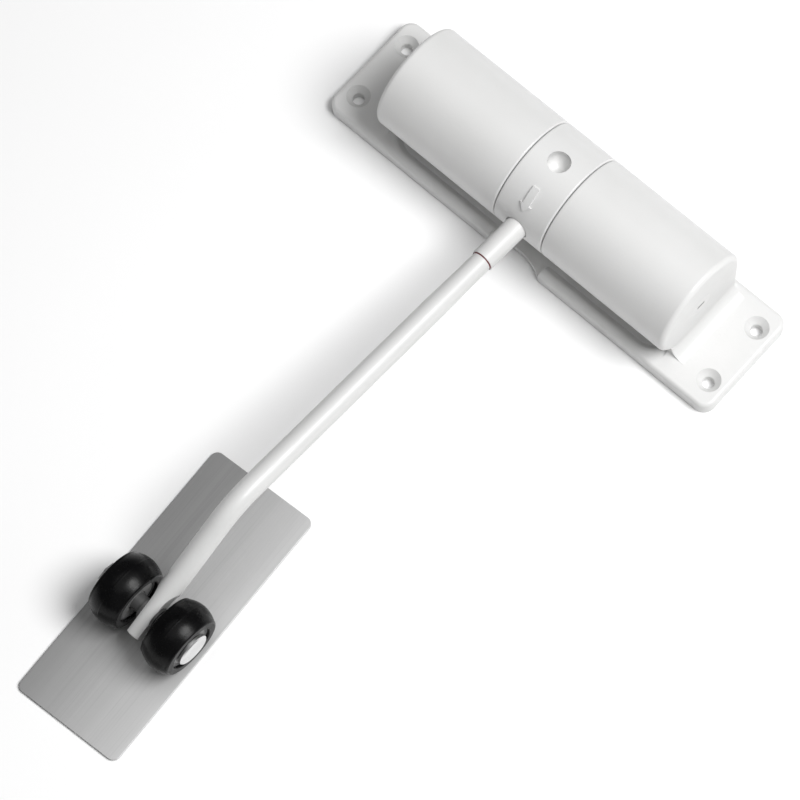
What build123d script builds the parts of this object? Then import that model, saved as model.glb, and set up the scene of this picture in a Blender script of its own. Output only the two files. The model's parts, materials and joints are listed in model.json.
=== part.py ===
"""Surface-mounted spring door closer.

A cylinder on a long cast base holds two torsion springs.  A collar in the
middle of the cylinder turns a bent arm, whose two rubber rollers run on a
steel strike plate.  Millimetres, +Z away from the mounting surface, +X along
the cylinder, the arm reaching towards -Y.  The origin is the middle of the
base's mounting face.
"""
import os
from math import atan, cos, degrees, radians, sin, tan

from build123d import *

# ---------------------------------------------------------------- driving sizes
BASE_LENGTH = 190.2
BASE_WIDTH = 48.0
BASE_HEIGHT = 6.4
CYLINDER_RADIUS = 22.15
CYLINDER_LENGTH = 141.8
COLLAR_WIDTH = 23.0
ARM_REACH = 218.6
ARM_RADIUS = 4.45
ROLLER_RADIUS = 14.7
ROLLER_WIDTH = 13.8
ROLLER_SPACING = 26.4
PLATE_LENGTH = 116.0
PLATE_WIDTH = 46.8
PLATE_TOP = 1.1

# ------------------------------------------------------------------- clearances
MOVING_GAP = 0.3
RUNNING_FIT = 0.05
SEAT_FIT = 0.02

# ---------------------------------------------------------------- base casting
BASE_CORNER = 5.0
BASE_EDGE_ROUND = 1.6
FLOOR_HEIGHT = 3.2
AIR_UNDER_CYLINDER = 2.4
RIM_WIDTH = 3.6
TROUGH_CORNER = 11.0
TROUGH_FROM_FACE = 2.5
TROUGH_SLOPE = 40.0
RIM_ROUND = 2.5
STAND_THICKNESS = 4.0
SPIGOT_LENGTH = 4.0
STAND_FOOT_ROUND = 6.0
STAND_EDGE_ROUND = 2.0
WEB_FRONT = 13.5
NOTCH_ROUND = 3.0
SCREW_RADIUS = 2.4
SCREW_HEAD_RADIUS = 4.75
SCREW_FROM_END = 7.4
SCREW_FROM_SIDE = 10.15
RIM_GAP = COLLAR_WIDTH + 1.6
RIM_GAP_DEPTH = 10.0
ARCH_DEPTH = 4.0

# ------------------------------------------------------------- cylinder inside
SHELL_WALL = 1.6
SPINDLE_RADIUS = 4.0
BUSHING_RADIUS = 5.5
BUSHING_LENGTH = 8.0
HUB_EDGE = 0.4
FLANGE_RADIUS = 7.5
FLANGE_THICKNESS = 1.2
TUBE_RADIUS = 6.5
HUB_LENGTH = 5.5
GROOVE_DEPTH = 4.0
WIRE_RADIUS = 1.4
SPRING_RADIUS = 15.2
SPRING_PITCH = 3.86
LEG_LENGTH = 4.5
PLUG_RADIUS = 5.2
PLUG_LENGTH = 3.4
PLUG_SLOT_WIDTH = 1.2
PLUG_SLOT_LENGTH = 4.0
PLUG_SLOT_DEPTH = 2.8

# -------------------------------------------------------------------- collar
RECESS_RADIUS = 4.5
RECESS_STRAIGHT = 2.6
COLLAR_EDGE_ROUND = 0.7
MARK_HEIGHT = 0.75
MARK_DEPTH = 1.5
MARK_ANGLE = 43.0
MARK_LENGTH = 11.0
MARK_WIDTH = 2.9
MARK_HEAD_WIDTH = 5.2
MARK_HEAD_LENGTH = 3.2

# ----------------------------------------------------------------------- arm
ARM_RISE = 4.14
ARM_YAW = 0.88
SLEEVE_STEP = 0.15
SLEEVE_DEPTH = 9.15
SLEEVE_END = 40.8
RING_WIDTH = 0.4
RING_STEP = 0.2
SOCKET_GAP = 0.35
STUD_RADIUS = 3.0
STUD_GRIP = 4.5
NECK_STEP = 0.4
NECK_LENGTH = 26.0
BEND_AT = 173.0
BEND_RADIUS = 32.0
TONGUE_THICKNESS = 5.2
TONGUE_RUN_OUT = 14.0
FLAT_MARGIN = 0.6
TIP_BEYOND_AXLE = 10.2
TIP_ROUND = 0.6
ROD_CUT = 16.0

# ------------------------------------------------------------------- rollers
AXLE_RADIUS = 2.5
TREAD_CROWN = 2.0
TREAD_EDGE_ROUND = 0.9
CORE_WALL = 1.4
CORE_RECESS = 1.2
BEARING_RADIUS = 8.0
BEARING_WIDTH = 11.0
OUTER_RACE_WALL = 1.3
INNER_RACE_WALL = 1.4
SHIELD_THICKNESS = 0.3
BALL_COUNT = 7
BALL_GAP = 0.1
HEAD_RADIUS = 6.8
HEAD_THICKNESS = 1.4
HEAD_PROUD = 1.0
SPACER_WALL = 1.0
WASHER_RADIUS = 4.6
WASHER_THICKNESS = 1.0
NUT_WASHER_RADIUS = 3.8
NUT_RADIUS = 4.6
NUT_THICKNESS = 3.4
AXLE_END_PROUD = 0.6
SMALL_CHAMFER = 0.4

# -------------------------------------------------------------- strike plate
PAD_THICKNESS = 0.3
PAD_MARGIN = 2.0
PLATE_CORNER = 3.0
PLATE_EDGE_ROUND = 0.2
PLATE_SKEW = 3.66
PLATE_CENTRE_X = -5.97
ROLLERS_PAST_CENTRE = 8.5

# ------------------------------------------------------------- derived places
AXIS_HEIGHT = FLOOR_HEIGHT + AIR_UNDER_CYLINDER + CYLINDER_RADIUS
HALF_LENGTH = CYLINDER_LENGTH / 2
STAND_INNER = HALF_LENGTH - STAND_THICKNESS
SPIGOT_END = STAND_INNER - SPIGOT_LENGTH
SHELL_BORE = CYLINDER_RADIUS - SHELL_WALL
SHELL_START = COLLAR_WIDTH / 2 + MOVING_GAP
HUB_END = COLLAR_WIDTH / 2 + HUB_LENGTH
TUBE_START = HUB_END + FLANGE_THICKNESS + MOVING_GAP
SPINDLE_END = HALF_LENGTH - PLUG_LENGTH
SPRING_START = HUB_END + WIRE_RADIUS + MOVING_GAP
SPRING_END = SPIGOT_END - WIRE_RADIUS - MOVING_GAP
ARM_ANGLE = 90.0 - ARM_RISE
SLEEVE_START = CYLINDER_RADIUS - SLEEVE_DEPTH
STUD_START = SLEEVE_START - STUD_GRIP
SLEEVE_RADIUS = ARM_RADIUS + SLEEVE_STEP
RING_RADIUS = ARM_RADIUS - RING_STEP
NECK_RADIUS = ARM_RADIUS - NECK_STEP
TREAD_EDGE_RADIUS = ROLLER_RADIUS - TREAD_CROWN
TYRE_BORE = BEARING_RADIUS + CORE_WALL
OUTER_RACE_BORE = BEARING_RADIUS - OUTER_RACE_WALL
INNER_RACE_RADIUS = AXLE_RADIUS + INNER_RACE_WALL
SPACER_RADIUS = AXLE_RADIUS + SPACER_WALL
AXLE_HEIGHT = PLATE_TOP + MOVING_GAP + ROLLER_RADIUS
AXLE_OUT = ARM_REACH / cos(radians(ARM_YAW))
BEND_HEIGHT = AXIS_HEIGHT + BEND_AT * tan(radians(ARM_RISE))
DROP_SLOPE = (BEND_HEIGHT - AXLE_HEIGHT) / (AXLE_OUT - BEND_AT)
DROP_ANGLE = degrees(atan(DROP_SLOPE))

OUTWARD = Vector(-sin(radians(ARM_YAW)), -cos(radians(ARM_YAW)), 0)
ALONG_AXLE = Vector(cos(radians(ARM_YAW)), -sin(radians(ARM_YAW)), 0)
UP = Vector(0, 0, 1)
SWING_CENTRE = Vector(0, 0, AXIS_HEIGHT)
ARM_DIRECTION = OUTWARD * cos(radians(ARM_RISE)) + UP * sin(radians(ARM_RISE))
DROP_DIRECTION = OUTWARD * cos(radians(DROP_ANGLE)) - UP * sin(radians(DROP_ANGLE))
AXLE_CENTRE = OUTWARD * AXLE_OUT + UP * AXLE_HEIGHT
PLATE_DIRECTION = Vector(sin(radians(PLATE_SKEW)), -cos(radians(PLATE_SKEW)), 0)
PLATE_CENTRE_Y = -ARM_REACH + ROLLERS_PAST_CENTRE

# The arm's own side view: x outward from the cylinder, y up.
ARM_SIDE = Plane(origin=(0, 0, 0), x_dir=OUTWARD, z_dir=OUTWARD.cross(UP))
ARM_LINE = Plane(origin=SWING_CENTRE, x_dir=ALONG_AXLE, z_dir=ARM_DIRECTION)
TONGUE_FLAT = Plane(origin=AXLE_CENTRE, x_dir=ALONG_AXLE, z_dir=ALONG_AXLE.cross(DROP_DIRECTION))


def across(x, side):
    """Plane square to the cylinder at x, facing away from the middle on that side."""
    return Plane(origin=(side * x, 0, AXIS_HEIGHT), x_dir=(0, side, 0), z_dir=(side, 0, 0))


def around_axle(offset, side=1):
    """Plane square to the axle, offset from the arm's middle towards that side."""
    centre = AXLE_CENTRE + ALONG_AXLE * (side * offset)
    return Plane(origin=centre, x_dir=UP, z_dir=ALONG_AXLE * side)


def ring(outer, inner):
    """Sketch of a flat ring round the sketch's origin."""
    Circle(outer)
    Circle(inner, mode=Mode.SUBTRACT)


def save(part, label):
    """Name one piece and write it out."""
    part.label = label
    export_step(part, f"parts/{label}.step")


# ---------------------------------------------------------------- base pieces
def base_plate():
    """Cast base: raised rim, arm notch, two end stands, spindle seats, screw holes."""
    half_gap = RIM_GAP / 2
    arch_radius = (half_gap**2 + ARCH_DEPTH**2) / (2 * ARCH_DEPTH)
    web_middle = (CYLINDER_RADIUS - WEB_FRONT) / 2
    foot_pivot = HALF_LENGTH - STAND_EDGE_ROUND
    foot_reach = STAND_EDGE_ROUND + STAND_FOOT_ROUND
    foot_front = WEB_FRONT - STAND_EDGE_ROUND
    foot_back = CYLINDER_RADIUS - STAND_EDGE_ROUND
    with BuildPart() as ends:
        for side in (-1, 1):
            with BuildSketch(across(STAND_INNER, side)):
                Circle(CYLINDER_RADIUS)
            extrude(amount=STAND_THICKNESS)
        circles = ends.edges().filter_by(GeomType.CIRCLE).sort_by(Axis.X)
        fillet([circles[0], circles[-1]], STAND_EDGE_ROUND)

    with BuildPart() as base:
        with BuildSketch():
            RectangleRounded(BASE_LENGTH, BASE_WIDTH, BASE_CORNER)
        extrude(amount=BASE_HEIGHT)
        fillet(base.faces().sort_by(Axis.Z)[-1].edges(), BASE_EDGE_ROUND)

        # Trough under the cylinder, leaving the raised rim.
        with BuildSketch(Plane.XY.offset(BASE_HEIGHT)):
            RectangleRounded(
                2 * (HALF_LENGTH - TROUGH_FROM_FACE), BASE_WIDTH - 2 * RIM_WIDTH, TROUGH_CORNER
            )
        extrude(amount=FLOOR_HEIGHT - BASE_HEIGHT, taper=TROUGH_SLOPE, mode=Mode.SUBTRACT)
        top = base.faces().filter_by(Axis.Z).sort_by(Axis.Z)[-1]
        fillet(top.inner_wires()[0].edges(), RIM_ROUND)

        # Gap in the rim beside the collar, and the shallow arch under the arm.
        with BuildSketch(Plane.XY.offset(FLOOR_HEIGHT)):
            with Locations((0, (RIM_GAP_DEPTH - BASE_WIDTH) / 2)):
                Rectangle(RIM_GAP, RIM_GAP_DEPTH)
        extrude(amount=BASE_HEIGHT, mode=Mode.SUBTRACT)
        with BuildSketch() as arch:
            with Locations((0, -BASE_WIDTH / 2 + ARCH_DEPTH - arch_radius)):
                Circle(arch_radius)
            with Locations((0, -BASE_WIDTH / 2 - arch_radius)):
                Rectangle(BASE_LENGTH, 2 * arch_radius)
            arch_ends = [
                corner for corner in arch.vertices()
                if abs(abs(corner.X) - half_gap) < SEAT_FIT
            ]
            fillet(arch_ends, NOTCH_ROUND)
        extrude(amount=BASE_HEIGHT, mode=Mode.SUBTRACT)

        # Clearance for the shells.
        with BuildSketch(across(0, 1)):
            Circle(CYLINDER_RADIUS + SEAT_FIT)
        extrude(amount=STAND_INNER, both=True, mode=Mode.SUBTRACT)
        add(ends.part)

        for side in (-1, 1):
            # Web under the cylinder's round end, straight at the back and set in on the arm's side.
            with BuildSketch() as web:
                with Locations((side * (HALF_LENGTH - STAND_THICKNESS / 2), web_middle)):
                    Rectangle(STAND_THICKNESS, CYLINDER_RADIUS + WEB_FRONT)
                fillet(web.vertices().sort_by(Axis.X, reverse=side > 0)[:2], STAND_EDGE_ROUND)
            extrude(amount=AXIS_HEIGHT)

            # Concave foot running out over the screw tab and round the web's front corner.
            with BuildSketch(Plane.XZ.offset(foot_front)) as foot:
                corner = (side * (foot_pivot + foot_reach / 2), BASE_HEIGHT + STAND_FOOT_ROUND / 2)
                with Locations(corner):
                    Rectangle(foot_reach, STAND_FOOT_ROUND)
                with Locations((side * (foot_pivot + foot_reach), BASE_HEIGHT + STAND_FOOT_ROUND)):
                    Circle(STAND_FOOT_ROUND, mode=Mode.SUBTRACT)
            extrude(foot.sketch, amount=-(foot_front + foot_back))
            pivot = Axis((side * foot_pivot, -foot_front, 0), (0, 0, -side))
            revolve(foot.sketch, axis=pivot, revolution_arc=90)

            # Spigot that carries the shell, spindle seat and spring anchor hole.
            with BuildSketch(across(SPIGOT_END, side)):
                Circle(SHELL_BORE - SEAT_FIT)
            extrude(amount=SPIGOT_LENGTH)
            with BuildSketch(across(SPIGOT_END, side)):
                Circle(SPINDLE_RADIUS + SEAT_FIT)
            extrude(amount=SPINDLE_END - SPIGOT_END, mode=Mode.SUBTRACT)
            with BuildSketch(across(SPRING_END, side)):
                with Locations((0, SPRING_RADIUS)):
                    Circle(WIRE_RADIUS + SEAT_FIT)
            extrude(amount=LEG_LENGTH + SEAT_FIT, mode=Mode.SUBTRACT)

        # Hole for the plug that closes the spindle seat on one end.
        with BuildSketch(across(SPINDLE_END, 1)):
            Circle(PLUG_RADIUS + SEAT_FIT)
        extrude(amount=PLUG_LENGTH, mode=Mode.SUBTRACT)

        with Locations(Plane.XY.offset(BASE_HEIGHT)):
            with GridLocations(
                BASE_LENGTH - 2 * SCREW_FROM_END, BASE_WIDTH - 2 * SCREW_FROM_SIDE, 2, 2
            ):
                CounterSinkHole(SCREW_RADIUS, SCREW_HEAD_RADIUS, depth=BASE_HEIGHT)
    return base.part


def shell(side):
    """Fixed tube from one end stand to the collar."""
    with BuildPart() as tube:
        with BuildSketch(across(SHELL_START, side)):
            ring(CYLINDER_RADIUS, SHELL_BORE)
        extrude(amount=STAND_INNER - SHELL_START)
        collar_end = tube.faces().filter_by(Axis.X).sort_by(Axis.X)[0 if side > 0 else -1]
        fillet(collar_end.outer_wire().edges(), COLLAR_EDGE_ROUND)
    return tube.part


def spindle():
    """Steel rod the collar turns on, seated in both end stands."""
    with BuildPart() as rod:
        with BuildSketch(across(0, 1)):
            Circle(SPINDLE_RADIUS)
        extrude(amount=SPINDLE_END, both=True)
        chamfer(rod.edges().filter_by(GeomType.CIRCLE), SMALL_CHAMFER)
    return rod.part


def spindle_plug():
    """Flush plug with a screwdriver slot, closing one spindle seat."""
    with BuildPart() as plug:
        with BuildSketch(across(SPINDLE_END, 1)):
            Circle(PLUG_RADIUS)
        extrude(amount=PLUG_LENGTH)
        with BuildSketch(across(HALF_LENGTH, 1)):
            SlotOverall(PLUG_SLOT_LENGTH, PLUG_SLOT_WIDTH)
        extrude(amount=-PLUG_SLOT_DEPTH, mode=Mode.SUBTRACT)
    return plug.part


def spacer_tubes():
    """Two tubes round the spindle that keep the collar midway."""
    with BuildPart() as tubes:
        for side in (-1, 1):
            with BuildSketch(across(TUBE_START, side)):
                ring(TUBE_RADIUS, SPINDLE_RADIUS + SEAT_FIT)
            extrude(amount=SPIGOT_END - TUBE_START)
    return tubes.part


def torsion_spring(side):
    """Coil round the spindle with one leg into the stand and one towards the collar."""
    coil_length = SPRING_END - SPRING_START
    pitch = coil_length / round(coil_length / SPRING_PITCH)
    middle = (side * SPRING_START, 0, AXIS_HEIGHT)
    with BuildPart() as spring:
        with BuildLine() as coil:
            Helix(pitch, coil_length, SPRING_RADIUS, center=middle, direction=(side, 0, 0))
        with BuildSketch(Plane(origin=coil.line @ 0, z_dir=coil.line % 0)):
            Circle(WIRE_RADIUS)
        sweep(path=coil.line, is_frenet=True)
        for start in (SPRING_START - LEG_LENGTH, SPRING_END - WIRE_RADIUS):
            with BuildSketch(across(start, side)):
                with Locations((0, SPRING_RADIUS)):
                    Circle(WIRE_RADIUS - SEAT_FIT)
            extrude(amount=LEG_LENGTH + WIRE_RADIUS)
    return spring.part


# ----------------------------------------------------------------- arm pieces
def collar():
    """Turning collar: hubs, spring grooves, arm socket, adjusting recesses, arrow mark."""
    with BuildPart() as mark:
        with BuildSketch(collar_face(MARK_ANGLE)):
            with BuildLine():
                Polyline(*arrow_corners(), close=True)
            make_face()
        extrude(amount=MARK_DEPTH, both=True)
        with BuildSketch(across(0, 1)):
            Circle(CYLINDER_RADIUS + MARK_HEIGHT)
        extrude(amount=COLLAR_WIDTH / 2, both=True, mode=Mode.INTERSECT)

    with BuildPart() as turned:
        with BuildSketch(across(0, 1)):
            Circle(CYLINDER_RADIUS)
        extrude(amount=COLLAR_WIDTH / 2, both=True)
        fillet(turned.edges().filter_by(GeomType.CIRCLE), COLLAR_EDGE_ROUND)
        with BuildSketch(across(0, 1)):
            Circle(SHELL_BORE - MOVING_GAP)
        extrude(amount=HUB_END, both=True)
        hub_rims = turned.edges().filter_by(GeomType.CIRCLE).sort_by(Axis.X)
        chamfer([hub_rims[0], hub_rims[-1]], HUB_EDGE)
        with BuildSketch(across(0, 1)):
            Circle(BUSHING_RADIUS)
        extrude(amount=HUB_END, both=True, mode=Mode.SUBTRACT)
        for side in (-1, 1):
            with BuildSketch(across(HUB_END, side)):
                reach = WIRE_RADIUS + MOVING_GAP
                ring(SPRING_RADIUS + reach, SPRING_RADIUS - reach)
            extrude(amount=-GROOVE_DEPTH, mode=Mode.SUBTRACT)
        add(mark.part)

        with BuildSketch(ARM_LINE.offset(SLEEVE_START)):
            Circle(SLEEVE_RADIUS + SOCKET_GAP)
        extrude(amount=CYLINDER_RADIUS, mode=Mode.SUBTRACT)
        with BuildSketch(ARM_LINE.offset(STUD_START)):
            Circle(STUD_RADIUS + SEAT_FIT)
        extrude(amount=CYLINDER_RADIUS, mode=Mode.SUBTRACT)

        for quarter in (-1, 1, 2):
            face = collar_face(ARM_ANGLE + 90 * quarter)
            with BuildSketch(face):
                Circle(RECESS_RADIUS)
            extrude(amount=-RECESS_STRAIGHT, mode=Mode.SUBTRACT)
            with Locations(face.offset(-RECESS_STRAIGHT)):
                Sphere(RECESS_RADIUS, mode=Mode.SUBTRACT)
    return turned.part


def collar_face(angle):
    """Plane on the collar's surface, angle measured from +Z towards the arm's side."""
    outward = Vector(0, -sin(radians(angle)), cos(radians(angle)))
    return Plane(origin=SWING_CENTRE + outward * CYLINDER_RADIUS, x_dir=(1, 0, 0), z_dir=outward)


def arrow_corners():
    """Corners of an arrow pointing at the arm socket, round the sketch's origin."""
    tail = MARK_LENGTH / 2
    neck = MARK_HEAD_LENGTH - tail
    right_half = [(MARK_WIDTH / 2, tail), (MARK_WIDTH / 2, neck), (MARK_HEAD_WIDTH / 2, neck)]
    left_half = [(-x, y) for x, y in reversed(right_half)]
    return right_half + [(0, -tail)] + left_half


def collar_bushings():
    """Two flanged bushings pressed into the collar's hubs."""
    with BuildPart() as bushings:
        for side in (-1, 1):
            with BuildSketch(across(HUB_END - BUSHING_LENGTH, side)):
                Circle(BUSHING_RADIUS - SEAT_FIT)
            extrude(amount=BUSHING_LENGTH)
            with BuildSketch(across(HUB_END, side)):
                Circle(FLANGE_RADIUS)
            extrude(amount=FLANGE_THICKNESS)
            with BuildSketch(across(HUB_END - BUSHING_LENGTH, side)):
                Circle(SPINDLE_RADIUS + RUNNING_FIT)
            extrude(amount=BUSHING_LENGTH + FLANGE_THICKNESS, mode=Mode.SUBTRACT)
    return bushings.part


def arm_sleeve():
    """Lock sleeve between the collar and the coloured ring."""
    with BuildPart() as sleeve:
        with BuildSketch(ARM_LINE.offset(SLEEVE_START)):
            ring(SLEEVE_RADIUS, STUD_RADIUS + SEAT_FIT)
        extrude(amount=SLEEVE_END - SLEEVE_START)
    return sleeve.part


def index_ring():
    """Thin coloured ring where the sleeve meets the rod."""
    with BuildPart() as band:
        with BuildSketch(ARM_LINE.offset(SLEEVE_END)):
            ring(RING_RADIUS, STUD_RADIUS + SEAT_FIT)
        extrude(amount=RING_WIDTH)
    return band.part


def arm_rod():
    """Bent rod: screwed tail, slightly tapered neck, bend, flattened tongue."""
    neck_start = SLEEVE_END + RING_WIDTH
    rod_start = neck_start + NECK_LENGTH
    rise = radians(ARM_RISE)
    drop = radians(DROP_ANGLE)
    tip_out = AXLE_OUT + TIP_BEYOND_AXLE * cos(drop)
    tip_height = AXLE_HEIGHT - TIP_BEYOND_AXLE * sin(drop)
    with BuildPart() as rod:
        with BuildSketch(ARM_LINE.offset(STUD_START)):
            Circle(STUD_RADIUS)
        extrude(amount=neck_start - STUD_START)
        with BuildSketch(ARM_LINE.offset(neck_start)):
            Circle(NECK_RADIUS)
        with BuildSketch(ARM_LINE.offset(rod_start)):
            Circle(ARM_RADIUS)
        loft()
        with BuildLine(ARM_SIDE) as path:
            FilletPolyline(
                (rod_start * cos(rise), AXIS_HEIGHT + rod_start * sin(rise)),
                (BEND_AT, BEND_HEIGHT),
                (tip_out, tip_height),
                radius=BEND_RADIUS,
            )
        with BuildSketch(ARM_LINE.offset(rod_start)):
            Circle(ARM_RADIUS)
        sweep(path=path.line)
        tip_edges = rod.edges().filter_by(GeomType.CIRCLE).sort_by(Axis.Y)[0]
        fillet(tip_edges, TIP_ROUND)

        # Two flats leave the tongue between the rollers, each ending in a long curve.
        start = -WASHER_RADIUS - FLAT_MARGIN - TONGUE_RUN_OUT
        cut_length = 2 * (TIP_BEYOND_AXLE - start)
        for side in (-1, 1):
            with BuildSketch(TONGUE_FLAT) as flat:
                cut_middle = side * (TONGUE_THICKNESS + ROD_CUT) / 2
                with Locations((cut_middle, start + cut_length / 2)):
                    Rectangle(ROD_CUT, cut_length)
                inner = [corner for corner in flat.vertices() if is_run_out(corner, side, start)]
                fillet(inner, TONGUE_RUN_OUT)
            extrude(amount=ROD_CUT, both=True, mode=Mode.SUBTRACT)
        with BuildSketch(around_axle(0)):
            Circle(AXLE_RADIUS + SEAT_FIT)
        extrude(amount=ROD_CUT, both=True, mode=Mode.SUBTRACT)
    return rod.part


def is_run_out(corner, side, start):
    """True for the corner of a tongue cut where the flat begins."""
    return abs(corner.X - side * TONGUE_THICKNESS / 2) < SEAT_FIT and abs(corner.Y - start) < SEAT_FIT


# --------------------------------------------------------------- axle pieces
def axle():
    """Axle pin with a broad flat head outside the right roller."""
    roller_middle = ROLLER_SPACING / 2
    race_face = roller_middle + BEARING_WIDTH / 2
    head_outer = roller_middle + ROLLER_WIDTH / 2 + HEAD_PROUD
    thread_end = race_face + WASHER_THICKNESS + NUT_THICKNESS + AXLE_END_PROUD
    with BuildPart() as pin:
        with BuildSketch(around_axle(-thread_end)):
            Circle(AXLE_RADIUS)
        extrude(amount=thread_end + race_face)
        chamfer(pin.edges().sort_by(Axis.X)[0], SMALL_CHAMFER)
        with BuildSketch(around_axle(race_face)):
            Circle(SPACER_RADIUS)
        extrude(amount=head_outer - HEAD_THICKNESS - race_face)
        with BuildSketch(around_axle(head_outer - HEAD_THICKNESS)):
            Circle(HEAD_RADIUS)
        extrude(amount=HEAD_THICKNESS)
        head_rims = pin.edges().filter_by(GeomType.CIRCLE).group_by(SortBy.RADIUS)[-1]
        chamfer(head_rims.sort_by(Axis.X)[-1], SMALL_CHAMFER)
    return pin.part


def axle_nut():
    """Hexagon nut on the axle's left end."""
    start = ROLLER_SPACING / 2 + BEARING_WIDTH / 2 + WASHER_THICKNESS
    with BuildPart() as nut:
        with BuildSketch(around_axle(start, -1)):
            RegularPolygon(NUT_RADIUS, 6)
            Circle(AXLE_RADIUS + SEAT_FIT, mode=Mode.SUBTRACT)
        extrude(amount=NUT_THICKNESS)
    return nut.part


def washer(offset, side, radius):
    """One plain washer on the axle."""
    with BuildPart() as disc:
        with BuildSketch(around_axle(offset, side)):
            ring(radius, AXLE_RADIUS + SEAT_FIT)
        extrude(amount=WASHER_THICKNESS)
    return disc.part


def axle_spacers():
    """Two tubes between the tongue's washers and the bearings."""
    start = TONGUE_THICKNESS / 2 + WASHER_THICKNESS
    end = (ROLLER_SPACING - BEARING_WIDTH) / 2
    with BuildPart() as tubes:
        for side in (-1, 1):
            with BuildSketch(around_axle(start, side)):
                ring(SPACER_RADIUS, AXLE_RADIUS + SEAT_FIT)
            extrude(amount=end - start)
    return tubes.part


def inner_races():
    """Inner rings of the two roller bearings, clamped on the axle."""
    with BuildPart() as races:
        for side in (-1, 1):
            with BuildSketch(around_axle((ROLLER_SPACING - BEARING_WIDTH) / 2, side)):
                ring(INNER_RACE_RADIUS, AXLE_RADIUS + SEAT_FIT)
            extrude(amount=BEARING_WIDTH)
    return races.part


# ------------------------------------------------------------- roller pieces
def tyre(side):
    """Rubber tyre with a barrel-shaped tread."""
    middle = around_axle(ROLLER_SPACING / 2, side)
    section = Plane(origin=middle.origin, x_dir=middle.z_dir, z_dir=middle.z_dir.cross(UP))
    half = ROLLER_WIDTH / 2
    with BuildPart() as rubber:
        with BuildSketch(section) as profile:
            with BuildLine():
                Polyline(
                    (-half, TREAD_EDGE_RADIUS), (-half, TYRE_BORE),
                    (half, TYRE_BORE), (half, TREAD_EDGE_RADIUS),
                )
                ThreePointArc(
                    (half, TREAD_EDGE_RADIUS), (0, ROLLER_RADIUS), (-half, TREAD_EDGE_RADIUS)
                )
            make_face()
            shoulders = profile.vertices().group_by(Axis.Y)[-1]
            fillet(shoulders, TREAD_EDGE_ROUND)
        revolve(axis=Axis(section.origin, section.x_dir))
    return rubber.part


def core(side):
    """Moulded hub inside the tyre that holds the bearing."""
    width = ROLLER_WIDTH - 2 * CORE_RECESS
    with BuildPart() as hub:
        with BuildSketch(around_axle((ROLLER_SPACING - width) / 2, side)):
            ring(TYRE_BORE - SEAT_FIT, BEARING_RADIUS + SEAT_FIT)
        extrude(amount=width)
        chamfer(hub.edges().filter_by(GeomType.CIRCLE).group_by(SortBy.RADIUS)[0], SMALL_CHAMFER)
    return hub.part


def outer_race(side):
    """Outer ring of the bearing with a thin shield on each face."""
    start = (ROLLER_SPACING - BEARING_WIDTH) / 2
    shield_bore = INNER_RACE_RADIUS + MOVING_GAP
    with BuildPart() as race:
        with BuildSketch(around_axle(start, side)):
            ring(BEARING_RADIUS, OUTER_RACE_BORE)
        extrude(amount=BEARING_WIDTH)
        for shield_start in (start, start + BEARING_WIDTH - SHIELD_THICKNESS):
            with BuildSketch(around_axle(shield_start, side)):
                ring(BEARING_RADIUS, shield_bore)
            extrude(amount=SHIELD_THICKNESS)
    return race.part


def bearing_balls(side):
    """Ring of balls between the two races."""
    pitch_radius = (OUTER_RACE_BORE + INNER_RACE_RADIUS) / 2
    ball_radius = (OUTER_RACE_BORE - INNER_RACE_RADIUS) / 2 - BALL_GAP
    with BuildPart() as balls:
        with Locations(around_axle(ROLLER_SPACING / 2, side)):
            with PolarLocations(pitch_radius, BALL_COUNT):
                Sphere(ball_radius)
    return balls.part


# ------------------------------------------------------------- strike pieces
def strike_plane():
    """Plane under the strike plate, x along its length."""
    return Plane(origin=(PLATE_CENTRE_X, PLATE_CENTRE_Y, 0), x_dir=PLATE_DIRECTION, z_dir=UP)


def strike_plate():
    """Steel sheet the rollers run on."""
    with BuildPart() as sheet:
        with BuildSketch(strike_plane().offset(PAD_THICKNESS)):
            RectangleRounded(PLATE_LENGTH, PLATE_WIDTH, PLATE_CORNER)
        extrude(amount=PLATE_TOP - PAD_THICKNESS)
        fillet(sheet.faces().sort_by(Axis.Z)[-1].edges(), PLATE_EDGE_ROUND)
    return sheet.part


def adhesive_pad():
    """Thin adhesive pad that fixes the strike plate."""
    with BuildPart() as pad:
        with BuildSketch(strike_plane()):
            RectangleRounded(
                PLATE_LENGTH - 2 * PAD_MARGIN, PLATE_WIDTH - 2 * PAD_MARGIN, PLATE_CORNER
            )
        extrude(amount=PAD_THICKNESS)
    return pad.part


# ------------------------------------------------------------------ write out
os.makedirs("parts", exist_ok=True)

save(base_plate(), "base_plate")
save(shell(-1), "left_shell")
save(shell(1), "right_shell")
save(spindle(), "spindle")
save(spindle_plug(), "spindle_plug")
save(spacer_tubes(), "spacer_tubes")
save(torsion_spring(-1), "left_spring")
save(torsion_spring(1), "right_spring")

save(collar(), "collar")
save(collar_bushings(), "collar_bushings")
save(arm_sleeve(), "arm_sleeve")
save(index_ring(), "index_ring")
save(arm_rod(), "arm_rod")
save(axle(), "axle")
save(axle_nut(), "axle_nut")
save(axle_spacers(), "axle_spacers")
save(inner_races(), "inner_races")
save(washer(TONGUE_THICKNESS / 2, -1, WASHER_RADIUS), "left_washer")
save(washer(TONGUE_THICKNESS / 2, 1, WASHER_RADIUS), "right_washer")
nut_seat = (ROLLER_SPACING + BEARING_WIDTH) / 2
save(washer(nut_seat, -1, NUT_WASHER_RADIUS), "nut_washer")

for side_name, direction in (("left", -1), ("right", 1)):
    save(tyre(direction), f"{side_name}_tyre")
    save(core(direction), f"{side_name}_core")
    save(outer_race(direction), f"{side_name}_outer_race")
    save(bearing_balls(direction), f"{side_name}_balls")

save(strike_plate(), "strike_plate")
save(adhesive_pad(), "adhesive_pad")
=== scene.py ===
"""Looks of a surface-mounted spring door closer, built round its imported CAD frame."""
import json
from math import atan2, cos, pi, radians, sin

import bmesh
import bpy
from mathutils import Matrix, Vector


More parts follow.
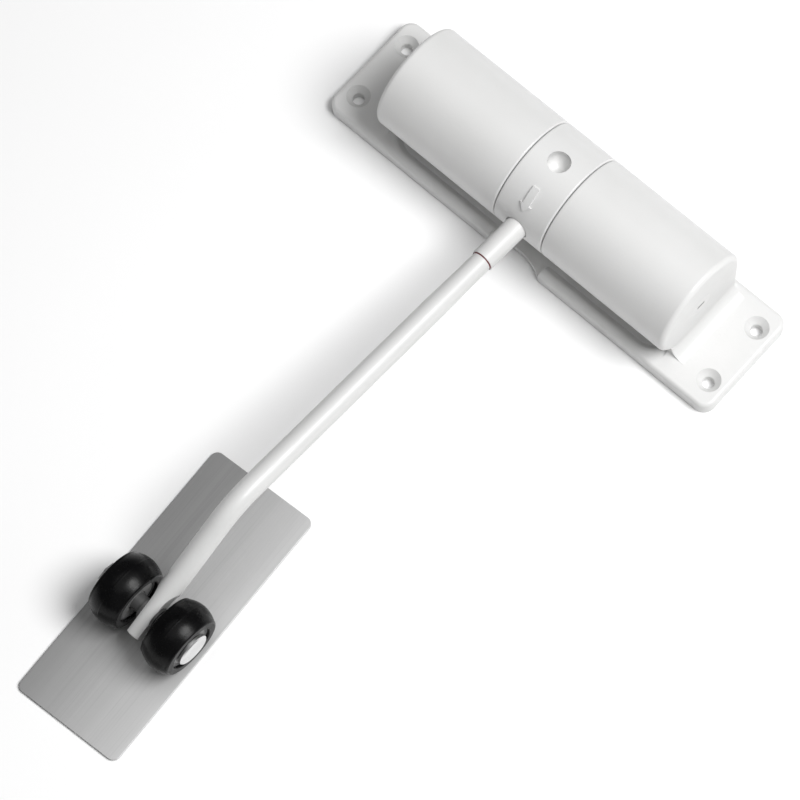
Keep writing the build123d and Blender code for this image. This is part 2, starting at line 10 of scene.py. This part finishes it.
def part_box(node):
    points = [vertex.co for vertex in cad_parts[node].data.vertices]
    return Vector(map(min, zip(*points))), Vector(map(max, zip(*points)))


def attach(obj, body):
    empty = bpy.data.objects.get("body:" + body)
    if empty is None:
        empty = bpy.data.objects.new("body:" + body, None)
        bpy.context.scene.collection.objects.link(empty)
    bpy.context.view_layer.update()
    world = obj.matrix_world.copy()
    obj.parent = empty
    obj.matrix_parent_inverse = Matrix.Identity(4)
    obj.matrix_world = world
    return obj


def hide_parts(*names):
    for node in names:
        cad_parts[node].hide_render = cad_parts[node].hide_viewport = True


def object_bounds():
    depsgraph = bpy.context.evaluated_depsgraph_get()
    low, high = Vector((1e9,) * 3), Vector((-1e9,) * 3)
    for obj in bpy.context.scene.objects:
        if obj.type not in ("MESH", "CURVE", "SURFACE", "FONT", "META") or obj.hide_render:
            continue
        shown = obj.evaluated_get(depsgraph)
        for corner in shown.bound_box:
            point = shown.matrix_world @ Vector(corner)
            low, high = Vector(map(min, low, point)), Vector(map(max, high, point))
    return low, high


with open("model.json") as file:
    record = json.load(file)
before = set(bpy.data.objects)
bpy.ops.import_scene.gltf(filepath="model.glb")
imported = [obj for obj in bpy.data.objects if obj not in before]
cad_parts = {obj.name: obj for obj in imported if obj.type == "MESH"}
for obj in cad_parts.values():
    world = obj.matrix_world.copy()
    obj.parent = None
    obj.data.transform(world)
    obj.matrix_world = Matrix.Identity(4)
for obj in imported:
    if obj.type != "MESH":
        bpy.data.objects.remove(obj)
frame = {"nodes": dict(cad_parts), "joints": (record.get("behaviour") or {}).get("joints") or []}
cad_low, cad_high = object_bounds()
nodes = frame["nodes"]
joints = {joint["name"]: joint for joint in frame["joints"]}
scene = bpy.context.scene

MM = 0.001

# ------------------------------------------------------------------ camera
AZIMUTH = 45.99
ELEVATION = 69.91
ROLL = -4.39
DISTANCE = 1.49783
TARGET = Vector((0.005076, -0.093807, 0))
LENS = 180.56
SENSOR = 36


def camera_axes():
    """The camera's right, up and backward directions."""
    turn, tilt, roll = radians(AZIMUTH), radians(ELEVATION), radians(ROLL)
    back = Vector((sin(turn) * cos(tilt), -cos(turn) * cos(tilt), sin(tilt)))
    right = Vector((0, 0, 1)).cross(back).normalized()
    up = back.cross(right)
    rolled_right = cos(roll) * right + sin(roll) * up
    rolled_up = cos(roll) * up - sin(roll) * right
    return rolled_right, rolled_up, back


def make_camera():
    """Long lens at the object's three-quarter view from above."""
    data = bpy.data.cameras.new("camera")
    data.sensor_width = SENSOR
    data.lens = LENS
    data.clip_start = 0.05
    data.clip_end = 20
    camera = bpy.data.objects.new("camera", data)
    scene.collection.objects.link(camera)
    right, up, back = camera_axes()
    turn = Matrix((right, up, back)).transposed()
    camera.matrix_world = Matrix.Translation(TARGET + back * DISTANCE) @ turn.to_4x4()
    scene.camera = camera


# ------------------------------------------------------------- light and floor
def area_light(name, direction, distance, size, power):
    """Round soft light shining on the object's middle from that direction."""
    data = bpy.data.lights.new(name, "AREA")
    data.shape = "DISK"
    data.size = size
    data.energy = power
    light = bpy.data.objects.new(name, data)
    scene.collection.objects.link(light)
    away = Vector(direction).normalized()
    light.location = TARGET + away * distance
    light.rotation_mode = "QUATERNION"
    light.rotation_quaternion = away.to_track_quat("Z", "Y")


def make_world(strength):
    """Even white surroundings."""
    world = bpy.data.worlds.new("studio")
    world.use_nodes = True
    background = world.node_tree.nodes["Background"]
    background.inputs["Color"].default_value = (1, 1, 1, 1)
    background.inputs["Strength"].default_value = strength
    scene.world = world


def make_floor():
    """Large plain pale floor, a hair under the object."""
    mesh = bpy.data.meshes.new("floor")
    half = 3.0
    below = cad_low.z - 0.2 * MM
    corners = [(-half, -half, below), (half, -half, below), (half, half, below), (-half, half, below)]
    mesh.from_pydata(corners, [], [(0, 1, 2, 3)])
    floor = bpy.data.objects.new("floor", mesh)
    scene.collection.objects.link(floor)
    return floor


# ---------------------------------------------------------------- materials
class Shader:
    """A node material under construction."""

    def __init__(self, name, rough, metal=0.0, **sockets):
        self.material = bpy.data.materials.new(name)
        self.material.use_nodes = True
        self.tree = self.material.node_tree
        self.surface = self.tree.nodes["Principled BSDF"]
        self.surface.inputs["Roughness"].default_value = rough
        self.surface.inputs["Metallic"].default_value = metal
        for socket, value in sockets.items():
            self.surface.inputs[socket.replace("_", " ")].default_value = value
        self.height = None

    def add(self, kind, **inputs):
        """New node of that kind with its input values set."""
        node = self.tree.nodes.new("ShaderNode" + kind)
        for socket, value in inputs.items():
            node.inputs[socket.replace("_", " ")].default_value = value
        return node

    def link(self, output, target):
        self.tree.links.new(output, target)

    def place(self, scale=(1, 1, 1), turn=(0, 0, 0), shift=(0, 0, 0)):
        """Object coordinates in metres, shifted, turned and scaled."""
        coordinates = self.tree.nodes.new("ShaderNodeTexCoord")
        moved = self.add("VectorMath")
        moved.operation = "SUBTRACT"
        moved.inputs[1].default_value = shift
        self.link(coordinates.outputs["Object"], moved.inputs[0])
        turned = self.add("Mapping", Rotation=turn)
        self.link(moved.outputs[0], turned.inputs["Vector"])
        mapping = self.add("Mapping", Scale=scale)
        self.link(turned.outputs["Vector"], mapping.inputs["Vector"])
        return mapping.outputs["Vector"]

    def noise(self, place, scale, detail=2.0, rough=0.5):
        """Grey noise at a scale in features per metre."""
        node = self.add("TexNoise", Scale=scale, Detail=detail, Roughness=rough)
        self.link(place, node.inputs["Vector"])
        return node.outputs["Fac"]

    def spread(self, value, low, high, start=0.3, end=0.7):
        """A grey value stretched to run from low to high."""
        node = self.add("MapRange")
        node.inputs["From Min"].default_value = start
        node.inputs["From Max"].default_value = end
        node.inputs["To Min"].default_value = low
        node.inputs["To Max"].default_value = high
        self.link(value, node.inputs["Value"])
        return node.outputs["Result"]

    def blend(self, factor, first, second):
        """Colour between two colours or colour outputs."""
        node = self.tree.nodes.new("ShaderNodeMix")
        node.data_type = "RGBA"
        self.link(factor, node.inputs["Factor"])
        for socket, colour in ((node.inputs[6], first), (node.inputs[7], second)):
            if isinstance(colour, tuple):
                socket.default_value = (*colour, 1)
            else:
                self.link(colour, socket)
        return node.outputs[2]

    def colour(self, output):
        self.link(output, self.surface.inputs["Base Color"])

    def roughness(self, output):
        self.link(output, self.surface.inputs["Roughness"])

    def bump(self, value, depth):
        """Relief of that depth in metres, on top of any relief added before."""
        node = self.add("Bump", Strength=1.0, Distance=depth)
        self.link(value, node.inputs["Height"])
        if self.height is not None:
            self.link(self.height, node.inputs["Normal"])
        self.height = node.outputs["Normal"]
        self.link(self.height, self.surface.inputs["Normal"])


def paint(name, light, dark, rough, peel, coat):
    """White paint: faint tone drift, orange peel, small specks of dust."""
    made = Shader(name, rough, Coat_Weight=coat, Coat_Roughness=0.12)
    place = made.place()
    drift = made.spread(made.noise(place, 28, 3.0), 0.0, 1.0)
    base = made.blend(drift, light, dark)
    specks = made.spread(made.noise(place, 2600, 1.0), 0.0, 0.5, 0.74, 0.8)
    grey = tuple(0.72 * channel for channel in light)
    made.colour(made.blend(specks, base, grey))
    made.roughness(made.spread(made.noise(place, 160, 3.0), rough - 0.05, rough + 0.07))
    made.bump(made.noise(place, 900, 2.0), peel)
    made.bump(made.noise(place, 4200, 1.0), peel / 5)
    return made.material


def slotted_plug(name, light, shade_below):
    """Painted end face, with painted shade making the slot dark below that x."""
    made = Shader(name, 0.45)
    place = made.place()
    split = made.add("SeparateXYZ")
    made.link(place, split.inputs[0])
    painted = made.spread(split.outputs["X"], 0.0, 1.0, shade_below, shade_below + SLOT_SHADE / 2)
    shade_mottle = made.spread(made.noise(place, 900, 3.0), 0.0, 1.0)
    # Painted shade: the slot is coloured near black, where shade falls in it.
    slot_painted_shade = made.blend(shade_mottle, (0.006, 0.006, 0.006), (0.014, 0.013, 0.012))
    made.colour(made.blend(painted, slot_painted_shade, light))
    made.roughness(made.spread(made.noise(place, 400, 3.0), 0.4, 0.6))
    made.bump(made.noise(place, 900, 2.0), 0.00003)
    return made.material


def rubber(name, clean, greyed, rough):
    """Smooth moulded rubber with a greyed bloom and fine scuffs."""
    made = Shader(name, rough, Specular_IOR_Level=0.13)
    place = made.place()
    bloom = made.spread(made.noise(place, 90, 4.0), 0.0, 1.0)
    base = made.blend(bloom, clean, greyed)
    dust = made.spread(made.noise(place, 1900, 3.0), 0.0, 0.35, 0.62, 0.75)
    made.colour(made.blend(dust, base, (0.035, 0.034, 0.033)))
    made.roughness(made.spread(made.noise(place, 260, 4.0), rough - 0.05, rough + 0.08))
    made.bump(made.noise(place, 1500, 3.0), 0.00003)
    return made.material


def moulded_plastic(name, light, dark, rough):
    """Matt moulded plastic with fine grain."""
    made = Shader(name, rough)
    place = made.place()
    drift = made.spread(made.noise(place, 120, 3.0), 0.0, 1.0)
    made.colour(made.blend(drift, dark, light))
    made.roughness(made.spread(made.noise(place, 700, 3.0), rough - 0.08, rough + 0.1))
    made.bump(made.noise(place, 2600, 2.0), 0.00003)
    return made.material


def grained_steel(name, shaded_edges, rough, turn, centre, half_width, scale, depth, metal=1.0):
    """Steel grained along x, with painted shade: its tone runs from a dark long edge to a light one,
    in place of shadow and reflection.
    """
    made = Shader(name, rough, metal)
    along = made.place((scale[0], scale[1], scale[1]), turn, centre)
    grain = made.noise(along, 1.0, 3.0, 0.6)
    broad = made.noise(made.place((scale[0] / 3, scale[1] / 9, scale[1] / 9), turn), 1.0, 2.0)
    across = made.add("SeparateXYZ")
    made.link(made.place(turn=turn, shift=centre), across.inputs[0])
    # Painted shade: the colour darkens towards one long edge, standing in for the arm's shadow and
    # the reflection's falloff.
    side = made.spread(across.outputs["Y"], 0.0, 1.0, -half_width, half_width)
    tone = made.blend(side, *shaded_edges)
    brushed = made.blend(made.spread(broad, 0.0, 0.06), tone, (0, 0, 0))
    made.colour(made.blend(made.spread(grain, 0.0, 0.1, 0.5, 0.8), brushed, (0.08, 0.08, 0.08)))
    made.roughness(made.spread(grain, rough - 0.07, rough + 0.12))
    made.bump(grain, depth)
    return made.material


def turned_steel(name, light, dark, rough, centre, axis, pitch, metal=1.0):
    """Steel with fine rings round an axis, as a lathe or a shield press leaves it."""
    made = Shader(name, rough, metal)
    spot = made.place(shift=centre)
    along = made.add("VectorMath")
    along.operation = "CROSS_PRODUCT"
    along.inputs[1].default_value = axis
    made.link(spot, along.inputs[0])
    length = made.add("VectorMath")
    length.operation = "LENGTH"
    made.link(along.outputs[0], length.inputs[0])
    radius = made.add("CombineXYZ")
    made.link(length.outputs["Value"], radius.inputs["X"])
    rings = made.noise(radius.outputs[0], 1 / pitch, 2.0, 0.7)
    drift = made.noise(made.place(), 140, 3.0)
    made.colour(made.blend(made.spread(drift, 0.0, 1.0), dark, light))
    made.roughness(made.spread(rings, rough - 0.08, rough + 0.12))
    made.bump(rings, pitch / 16)
    return made.material


def plain_metal(name, light, dark, rough, grain):
    """Metal with a fine even grain, for plated and cast-on pieces."""
    made = Shader(name, rough, 1.0)
    place = made.place()
    made.colour(made.blend(made.spread(made.noise(place, 180, 3.0), 0.0, 1.0), dark, light))
    made.roughness(made.spread(made.noise(place, grain, 3.0), rough - 0.07, rough + 0.1))
    made.bump(made.noise(place, grain * 2, 2.0), 0.00002)
    return made.material


def give(material, *names):
    """CAD nodes take this material."""
    for name in names:
        slots = nodes[name].data.materials
        slots.clear()
        slots.append(material)


# ---------------------------------------------------------------- turned pieces
TURNS = 128


def lathe(name, outline, middle, axis, material_at):
    """Closed ring whose section is (distance along the axis, radius) points, turned round it."""
    mesh = bmesh.new()
    first = Vector((0, 0, 1))
    second = axis.cross(first).normalized()
    rings = []
    for step in range(TURNS):
        turn = 2 * pi * step / TURNS
        outward = cos(turn) * first + sin(turn) * second
        rings.append([mesh.verts.new(middle + axis * along + outward * radius)
                      for along, radius in outline])
    count = len(outline)
    for step in range(TURNS):
        here, after = rings[step], rings[(step + 1) % TURNS]
        for point in range(count):
            beside = (point + 1) % count
            face = mesh.faces.new((here[point], here[beside], after[beside], after[point]))
            face.smooth = True
            face.material_index = material_at(point)
    bmesh.ops.recalc_face_normals(mesh, faces=mesh.faces)
    data = bpy.data.meshes.new(name)
    mesh.to_mesh(data)
    mesh.free()
    piece = bpy.data.objects.new(name, data)
    scene.collection.objects.link(piece)
    return piece


def arc(centre, radius, start, end, steps):
    """Points of an arc in a section, angles in degrees from the axis direction."""
    points = []
    for step in range(steps + 1):
        angle = radians(start + (end - start) * step / steps)
        points.append((centre[0] + radius * cos(angle), centre[1] + radius * sin(angle)))
    return points


def tyre_outline():
    """Section of a tyre: crowned tread, moulding line, shoulders, side walls with a bead."""
    tread = []
    for step in range(-TREAD_STEPS, TREAD_STEPS + 1):
        share = step / TREAD_STEPS
        along = share * (TYRE_HALF - SHOULDER)
        radius = TYRE_RADIUS - TREAD_FALL * share**2
        if step == 0:
            tread.append((along - 2 * FLASH, radius))
            tread.append((along, radius + FLASH))
            tread.append((along + 2 * FLASH, radius))
        else:
            tread.append((along, radius))
    edge = TYRE_RADIUS - TREAD_FALL - SHOULDER
    right = arc((TYRE_HALF - SHOULDER, edge), SHOULDER, 80, 0, 6)
    right += arc((TYRE_HALF - BEAD, TYRE_INNER + BEAD), BEAD, 0, -90, 6)
    left = [(-along, radius) for along, radius in reversed(right)]
    return left + tread + right


def make_tyre(side, joint):
    """Tyre on its roller, in place of the plain CAD ring."""
    middle = Vector(joint["pos_m"])
    outline = tyre_outline()

    def on_wall(point):
        ends = (outline[point][0], outline[(point + 1) % len(outline)][0])
        return 1 if min(abs(along) for along in ends) > TYRE_HALF - FLASH else 0

    piece = lathe(f"{side}_tyre_moulded", outline, middle, Vector(joint["axis"]), on_wall)
    piece.data.materials.append(tread_rubber)
    piece.data.materials.append(wall_rubber)
    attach(piece, f"{side}_roller")
    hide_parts(f"{side}_tyre")


# ------------------------------------------------------------------ the scene
plate_low, plate_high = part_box("strike_plate")
plate_middle = (plate_low + plate_high) / 2
plate_along = Vector(joints["strike_travel"]["axis"])
plate_turn = -atan2(plate_along.y, plate_along.x)
axle_axis = Vector(joints["right_roller_spin"]["axis"])
right_middle = Vector(joints["right_roller_spin"]["pos_m"])

PLATE_HALF_WIDTH = 23.4 * MM
# Painted shade across the strike plate: dark at one long edge, light at the other, standing in for
# the arm's shadow and reflection.
PLATE_SHADED_EDGES = ((0.27, 0.27, 0.27), (0.57, 0.57, 0.57))

# The moulding line stands on the tread and ends at the CAD tyre's radius.
tyre_low, tyre_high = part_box("right_tyre")
FLASH = 0.02 * MM
TYRE_RADIUS = (tyre_high.z - tyre_low.z) / 2 - FLASH
TYRE_HALF = 6.9 * MM
TYRE_INNER = 9.4 * MM
SHOULDER = 0.9 * MM
TREAD_FALL = 1.7 * MM
TREAD_STEPS = 12
BEAD = 0.5 * MM

SLOT_SHADE = 0.1 * MM
WHITE = (0.71, 0.71, 0.706)
WARM_WHITE = (0.68, 0.68, 0.673)

casting_paint = paint("casting_paint", WHITE, WARM_WHITE, 0.42, 0.00004, 0.1)
shell_paint = paint("shell_paint", WHITE, WARM_WHITE, 0.36, 0.000025, 0.15)
collar_paint = paint("collar_paint", WHITE, WARM_WHITE, 0.38, 0.000025, 0.15)
arm_paint = paint("arm_paint", (0.645, 0.645, 0.64), (0.625, 0.625, 0.62), 0.4, 0.00001, 0.1)

give(casting_paint, "base_plate")
give(slotted_plug("plug_paint", WHITE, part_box("spindle_plug")[1].x - SLOT_SHADE), "spindle_plug")
give(shell_paint, "left_shell", "right_shell")
give(collar_paint, "collar")
give(arm_paint, "arm_rod", "arm_sleeve")
give(moulded_plastic("ring_red", (0.16, 0.008, 0.014), (0.09, 0.004, 0.008), 0.35), "index_ring")
tread_rubber = rubber("tread_rubber", (0.0015, 0.0015, 0.0017), (0.004, 0.004, 0.0042), 0.26)
wall_rubber = rubber("wall_rubber", (0.03, 0.03, 0.03), (0.045, 0.045, 0.045), 0.5)
give(tread_rubber, "left_tyre", "right_tyre")
for side in ("left", "right"):
    make_tyre(side, joints[f"{side}_roller_spin"])
give(moulded_plastic("core_plastic", (0.12, 0.12, 0.122), (0.08, 0.08, 0.082), 0.5),
     "left_core", "right_core")
give(moulded_plastic("nylon", (0.62, 0.6, 0.54), (0.54, 0.52, 0.46), 0.45), "spacer_tubes")
give(moulded_plastic("pad_foam", (0.62, 0.62, 0.6), (0.5, 0.5, 0.48), 0.8), "adhesive_pad")
give(grained_steel("plate_steel", PLATE_SHADED_EDGES, 0.46, (0, 0, plate_turn), plate_middle,
                   PLATE_HALF_WIDTH, (18, 1700), 0.000006, 0.45), "strike_plate")
give(turned_steel("axle_steel", (0.78, 0.78, 0.78), (0.68, 0.68, 0.68), 0.3,
                  right_middle, axle_axis, 0.0003),
     "axle", "axle_nut", "nut_washer")
give(turned_steel("washer_steel", (0.11, 0.11, 0.11), (0.07, 0.07, 0.07), 0.5,
                  right_middle, axle_axis, 0.0003, 0.4),
     "left_washer", "right_washer", "axle_spacers")
give(turned_steel("bearing_steel", (0.26, 0.26, 0.26), (0.18, 0.18, 0.18), 0.42,
                  right_middle, axle_axis, 0.0004, 0.35),
     "inner_races", "left_outer_race", "right_outer_race", "left_balls", "right_balls")
give(plain_metal("bronze", (0.55, 0.36, 0.15), (0.4, 0.26, 0.1), 0.4, 900), "collar_bushings")
give(plain_metal("spring_steel", (0.3, 0.3, 0.31), (0.2, 0.2, 0.21), 0.38, 700),
     "left_spring", "right_spring")
give(plain_metal("spindle_steel", (0.6, 0.6, 0.61), (0.5, 0.5, 0.51), 0.3, 1200), "spindle")

floor = make_floor()
floor_shader = Shader("floor_white", 0.9)
floor_tone = floor_shader.spread(floor_shader.noise(floor_shader.place(), 6, 2.0), 0.0, 1.0)
floor_shader.colour(floor_shader.blend(floor_tone, (0.93, 0.93, 0.93), (0.95, 0.95, 0.95)))
floor.data.materials.append(floor_shader.material)

make_camera()
make_world(0.12)
area_light("key", (0.47, 0.22, 0.855), 1.6, 0.9, 26)
area_light("overhead", (0.0, 0.0, 1.0), 1.8, 2.2, 9)
scene.view_settings.view_transform = "Standard"
